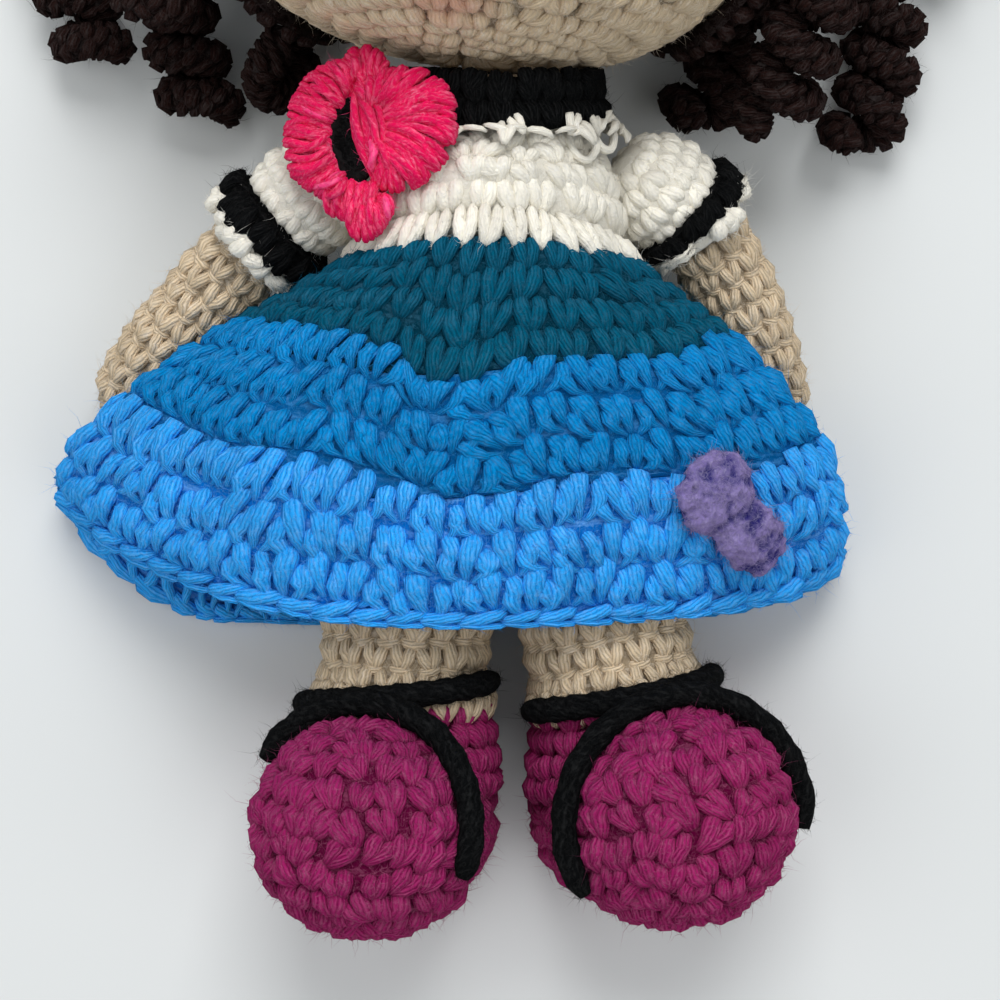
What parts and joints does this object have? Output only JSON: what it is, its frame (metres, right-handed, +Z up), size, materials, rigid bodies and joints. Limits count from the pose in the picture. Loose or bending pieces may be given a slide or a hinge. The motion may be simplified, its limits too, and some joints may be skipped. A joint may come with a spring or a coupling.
{
  "type": "crocheted doll",
  "caption": "Stuffed crocheted doll lying on its back, with corkscrew hair, a flared dress in three tiers, a collar, strapped shoes, a looped flower and a felted bow.",
  "frame": {"origin": "on the surface that the doll lies on, where the flat of the torso's back meets it, under the middle of the chest", "axes": "+Y from the feet to the head, +Z up from the doll's back to its front, +X to the doll's left"},
  "size_m": [0.2029, 0.2698, 0.0978],
  "materials": {
    "skin_yarn": "matt beige yarn",
    "white_yarn": "matt white yarn",
    "black_yarn": "matt black yarn",
    "teal_yarn": "matt teal yarn",
    "mid_blue_yarn": "matt blue yarn",
    "light_blue_yarn": "matt light blue yarn",
    "magenta_yarn": "matt magenta yarn",
    "pink_yarn": "soft pink yarn",
    "purple_felt": "matt purple felt",
    "hair_yarn": "matt dark brown yarn",
    "stuffing_fibre": "loose white fibre",
    "eye_plastic": "gloss black",
    "washer_plastic": "matt white"
  },
  "bodies": {
    "torso": {"torso": "white_yarn", "torso_stuffing": "stuffing_fibre", "neck": "skin_yarn", "collar": "black_yarn", "skirt_top_tier": "teal_yarn", "skirt_middle_tier": "mid_blue_yarn", "skirt_hem_tier": "light_blue_yarn", "felt_bow": "purple_felt", "flower_centre": "black_yarn", "flower_petal_left": "pink_yarn", "flower_petal_right": "pink_yarn", "flower_petal_top": "pink_yarn", "flower_petal_bottom": "pink_yarn", "flower_petal_tip": "pink_yarn"},
    "head": {"head": "skin_yarn", "head_stuffing": "stuffing_fibre", "wig_cap": "hair_yarn", "eye_left": "eye_plastic", "eye_right": "eye_plastic", "eye_washer_left": "washer_plastic", "eye_washer_right": "washer_plastic", "ringlet_left_front": "hair_yarn", "ringlet_left_side": "hair_yarn", "ringlet_left_back": "hair_yarn", "ringlet_left_nape": "hair_yarn", "ringlet_right_front": "hair_yarn", "ringlet_right_side": "hair_yarn", "ringlet_right_back": "hair_yarn", "ringlet_right_nape": "hair_yarn"},
    "left_arm": {"arm_left": "skin_yarn", "arm_stuffing_left": "stuffing_fibre", "sleeve_left": "white_yarn", "cuff_left": "black_yarn", "cuff_edge_left": "white_yarn"},
    "right_arm": {"arm_right": "skin_yarn", "arm_stuffing_right": "stuffing_fibre", "sleeve_right": "white_yarn", "cuff_right": "black_yarn", "cuff_edge_right": "white_yarn"},
    "left_leg": {"leg_left": "skin_yarn", "leg_stuffing_left": "stuffing_fibre", "shoe_left": "magenta_yarn", "shoe_stuffing_left": "stuffing_fibre", "ankle_strap_left": "black_yarn", "instep_strap_left": "black_yarn"},
    "right_leg": {"leg_right": "skin_yarn", "leg_stuffing_right": "stuffing_fibre", "shoe_right": "magenta_yarn", "shoe_stuffing_right": "stuffing_fibre", "ankle_strap_right": "black_yarn", "instep_strap_right": "black_yarn"}
  },
  "joints": [
    {"name": "head_turn", "type": "hinge", "parent": "torso", "child": "head", "pos_m": [0.001, 0.016, 0.04], "axis": [0, 0.9815, 0.1915], "range_deg": [-35, 35]},
    {"name": "left_shoulder", "type": "hinge", "parent": "torso", "child": "left_arm", "pos_m": [0.03383, -0.0006, 0.0315], "axis": [0, 0, 1], "range_deg": [0, 40]},
    {"name": "right_shoulder", "type": "hinge", "parent": "torso", "child": "right_arm", "pos_m": [-0.03657, -0.0018, 0.0315], "axis": [0, 0, -1], "range_deg": [0, 40]},
    {"name": "left_hip", "type": "hinge", "parent": "torso", "child": "left_leg", "pos_m": [0.019, -0.06219, 0.0206], "axis": [0, 0, 1], "range_deg": [-1, 8]},
    {"name": "right_hip", "type": "hinge", "parent": "torso", "child": "right_leg", "pos_m": [-0.016, -0.06219, 0.0206], "axis": [0, 0, -1], "range_deg": [-1, 8]}
  ]
}
